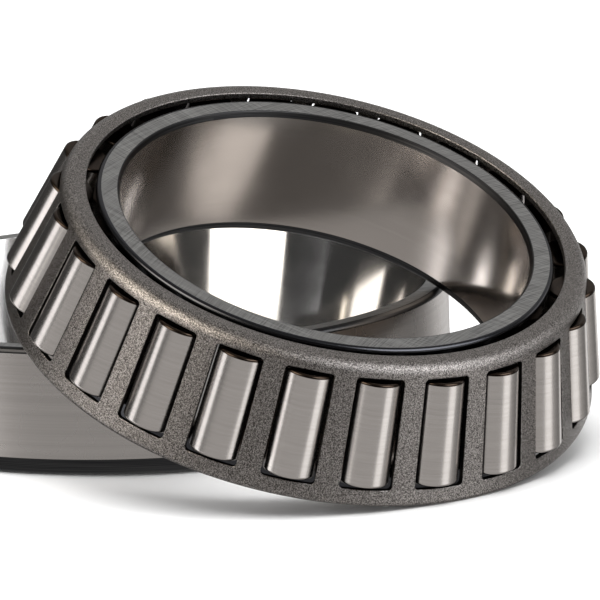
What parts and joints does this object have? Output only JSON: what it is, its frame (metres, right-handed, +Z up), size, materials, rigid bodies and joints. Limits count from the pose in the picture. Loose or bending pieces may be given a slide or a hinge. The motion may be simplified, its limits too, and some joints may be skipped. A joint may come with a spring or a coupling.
{
  "type": "tapered roller bearing",
  "caption": "Separable tapered roller bearing: a cup lying flat and a caged cone assembly with tapered rollers leaning on its rim.",
  "frame": {"origin": "on the resting surface, under the middle of the arrangement's bounding box", "axes": "+Z up along the cup's axis; the cone assembly leans over towards -Y with its small end up; X runs across the lean"},
  "size_m": [0.1334, 0.1886, 0.0717],
  "materials": {
    "ring_steel": "ground, satin",
    "cage_steel": "pressed sheet, shot-blasted and phosphated",
    "roller_steel": "ground and polished"
  },
  "bodies": {
    "cup": {"cup": "ring_steel"},
    "inner_ring": {"inner_ring": "ring_steel"},
    "cage": {"cage": "cage_steel"},
    "roller_01": {"roller_01": "roller_steel"},
    "roller_02": {"roller_02": "roller_steel"},
    "roller_03": {"roller_03": "roller_steel"},
    "roller_04": {"roller_04": "roller_steel"},
    "roller_05": {"roller_05": "roller_steel"},
    "roller_06": {"roller_06": "roller_steel"},
    "roller_07": {"roller_07": "roller_steel"},
    "roller_08": {"roller_08": "roller_steel"},
    "roller_09": {"roller_09": "roller_steel"},
    "roller_10": {"roller_10": "roller_steel"},
    "roller_11": {"roller_11": "roller_steel"},
    "roller_12": {"roller_12": "roller_steel"},
    "roller_13": {"roller_13": "roller_steel"},
    "roller_14": {"roller_14": "roller_steel"},
    "roller_15": {"roller_15": "roller_steel"},
    "roller_16": {"roller_16": "roller_steel"},
    "roller_17": {"roller_17": "roller_steel"},
    "roller_18": {"roller_18": "roller_steel"},
    "roller_19": {"roller_19": "roller_steel"},
    "roller_20": {"roller_20": "roller_steel"},
    "roller_21": {"roller_21": "roller_steel"},
    "roller_22": {"roller_22": "roller_steel"},
    "roller_23": {"roller_23": "roller_steel"},
    "roller_24": {"roller_24": "roller_steel"}
  },
  "joints": [
    {"name": "cone_lift", "type": "slide", "parent": "cup", "child": "inner_ring", "axis": [0, 0, 1], "range_m": [0, 0.04]},
    {"name": "cage_spin", "type": "hinge", "parent": "inner_ring", "child": "cage", "pos_m": [0, -0.03738, 0.0366], "axis": [0, -0.3983, 0.9173], "continuous": true},
    {"name": "roller_01_spin", "type": "hinge", "parent": "cage", "child": "roller_01", "pos_m": [0.00792, -0.08747, 0.01581], "axis": [-0.0351, -0.166, 0.9855], "continuous": true},
    {"name": "roller_02_spin", "type": "hinge", "parent": "cage", "child": "roller_02", "pos_m": [0.02168, -0.0839, 0.01737], "axis": [-0.0961, -0.1818, 0.9786], "continuous": true},
    {"name": "roller_03_spin", "type": "hinge", "parent": "cage", "child": "roller_03", "pos_m": [0.03397, -0.07718, 0.02029], "axis": [-0.1505, -0.2116, 0.9657], "continuous": true},
    {"name": "roller_04_spin", "type": "hinge", "parent": "cage", "child": "roller_04", "pos_m": [0.04394, -0.06777, 0.02437], "axis": [-0.1947, -0.2533, 0.9476], "continuous": true},
    {"name": "roller_05_spin", "type": "hinge", "parent": "cage", "child": "roller_05", "pos_m": [0.05092, -0.05631, 0.02934], "axis": [-0.2256, -0.3041, 0.9256], "continuous": true},
    {"name": "roller_06_spin", "type": "hinge", "parent": "cage", "child": "roller_06", "pos_m": [0.05443, -0.04359, 0.03487], "axis": [-0.2411, -0.3604, 0.9011], "continuous": true},
    {"name": "roller_07_spin", "type": "hinge", "parent": "cage", "child": "roller_07", "pos_m": [0.05423, -0.03047, 0.04057], "axis": [-0.2402, -0.4185, 0.8759], "continuous": true},
    {"name": "roller_08_spin", "type": "hinge", "parent": "cage", "child": "roller_08", "pos_m": [0.05033, -0.01784, 0.04605], "axis": [-0.223, -0.4745, 0.8516], "continuous": true},
    {"name": "roller_09_spin", "type": "hinge", "parent": "cage", "child": "roller_09", "pos_m": [0.043, -0.00657, 0.05094], "axis": [-0.1905, -0.5244, 0.8299], "continuous": true},
    {"name": "roller_10_spin", "type": "hinge", "parent": "cage", "child": "roller_10", "pos_m": [0.03274, 0.00257, 0.05491], "axis": [-0.1451, -0.5649, 0.8123], "continuous": true},
    {"name": "roller_11_spin", "type": "hinge", "parent": "cage", "child": "roller_11", "pos_m": [0.02025, 0.00897, 0.05769], "axis": [-0.0897, -0.5933, 0.8], "continuous": true},
    {"name": "roller_12_spin", "type": "hinge", "parent": "cage", "child": "roller_12", "pos_m": [0.00638, 0.01219, 0.05909], "axis": [-0.0283, -0.6075, 0.7938], "continuous": true},
    {"name": "roller_13_spin", "type": "hinge", "parent": "cage", "child": "roller_13", "pos_m": [-0.00792, 0.012, 0.05901], "axis": [0.0351, -0.6067, 0.7942], "continuous": true},
    {"name": "roller_14_spin", "type": "hinge", "parent": "cage", "child": "roller_14", "pos_m": [-0.02168, 0.00843, 0.05745], "axis": [0.0961, -0.5909, 0.801], "continuous": true},
    {"name": "roller_15_spin", "type": "hinge", "parent": "cage", "child": "roller_15", "pos_m": [-0.03397, 0.00171, 0.05454], "axis": [0.1505, -0.5611, 0.814], "continuous": true},
    {"name": "roller_16_spin", "type": "hinge", "parent": "cage", "child": "roller_16", "pos_m": [-0.04394, -0.0077, 0.05045], "axis": [0.1947, -0.5194, 0.8321], "continuous": true},
    {"name": "roller_17_spin", "type": "hinge", "parent": "cage", "child": "roller_17", "pos_m": [-0.05092, -0.01916, 0.04548], "axis": [0.2256, -0.4687, 0.8541], "continuous": true},
    {"name": "roller_18_spin", "type": "hinge", "parent": "cage", "child": "roller_18", "pos_m": [-0.05443, -0.03188, 0.03995], "axis": [0.2411, -0.4123, 0.8786], "continuous": true},
    {"name": "roller_19_spin", "type": "hinge", "parent": "cage", "child": "roller_19", "pos_m": [-0.05423, -0.045, 0.03426], "axis": [0.2402, -0.3542, 0.9038], "continuous": true},
    {"name": "roller_20_spin", "type": "hinge", "parent": "cage", "child": "roller_20", "pos_m": [-0.05033, -0.05763, 0.02877], "axis": [0.223, -0.2982, 0.9281], "continuous": true},
    {"name": "roller_21_spin", "type": "hinge", "parent": "cage", "child": "roller_21", "pos_m": [-0.043, -0.0689, 0.02388], "axis": [0.1905, -0.2483, 0.9498], "continuous": true},
    {"name": "roller_22_spin", "type": "hinge", "parent": "cage", "child": "roller_22", "pos_m": [-0.03274, -0.07804, 0.01991], "axis": [0.1451, -0.2078, 0.9674], "continuous": true},
    {"name": "roller_23_spin", "type": "hinge", "parent": "cage", "child": "roller_23", "pos_m": [-0.02025, -0.08444, 0.01713], "axis": [0.0897, -0.1794, 0.9797], "continuous": true},
    {"name": "roller_24_spin", "type": "hinge", "parent": "cage", "child": "roller_24", "pos_m": [-0.00638, -0.08766, 0.01573], "axis": [0.0283, -0.1652, 0.9859], "continuous": true}
  ],
  "couplings": [
    {"joint": "roller_01_spin", "follows": "cage_spin", "ratio": 9.468},
    {"joint": "roller_02_spin", "follows": "cage_spin", "ratio": 9.468},
    {"joint": "roller_03_spin", "follows": "cage_spin", "ratio": 9.468},
    {"joint": "roller_04_spin", "follows": "cage_spin", "ratio": 9.468},
    {"joint": "roller_05_spin", "follows": "cage_spin", "ratio": 9.468},
    {"joint": "roller_06_spin", "follows": "cage_spin", "ratio": 9.468},
    {"joint": "roller_07_spin", "follows": "cage_spin", "ratio": 9.468},
    {"joint": "roller_08_spin", "follows": "cage_spin", "ratio": 9.468},
    {"joint": "roller_09_spin", "follows": "cage_spin", "ratio": 9.468},
    {"joint": "roller_10_spin", "follows": "cage_spin", "ratio": 9.468},
    {"joint": "roller_11_spin", "follows": "cage_spin", "ratio": 9.468},
    {"joint": "roller_12_spin", "follows": "cage_spin", "ratio": 9.468},
    {"joint": "roller_13_spin", "follows": "cage_spin", "ratio": 9.468},
    {"joint": "roller_14_spin", "follows": "cage_spin", "ratio": 9.468},
    {"joint": "roller_15_spin", "follows": "cage_spin", "ratio": 9.468},
    {"joint": "roller_16_spin", "follows": "cage_spin", "ratio": 9.468},
    {"joint": "roller_17_spin", "follows": "cage_spin", "ratio": 9.468},
    {"joint": "roller_18_spin", "follows": "cage_spin", "ratio": 9.468},
    {"joint": "roller_19_spin", "follows": "cage_spin", "ratio": 9.468},
    {"joint": "roller_20_spin", "follows": "cage_spin", "ratio": 9.468},
    {"joint": "roller_21_spin", "follows": "cage_spin", "ratio": 9.468},
    {"joint": "roller_22_spin", "follows": "cage_spin", "ratio": 9.468},
    {"joint": "roller_23_spin", "follows": "cage_spin", "ratio": 9.468},
    {"joint": "roller_24_spin", "follows": "cage_spin", "ratio": 9.468}
  ]
}
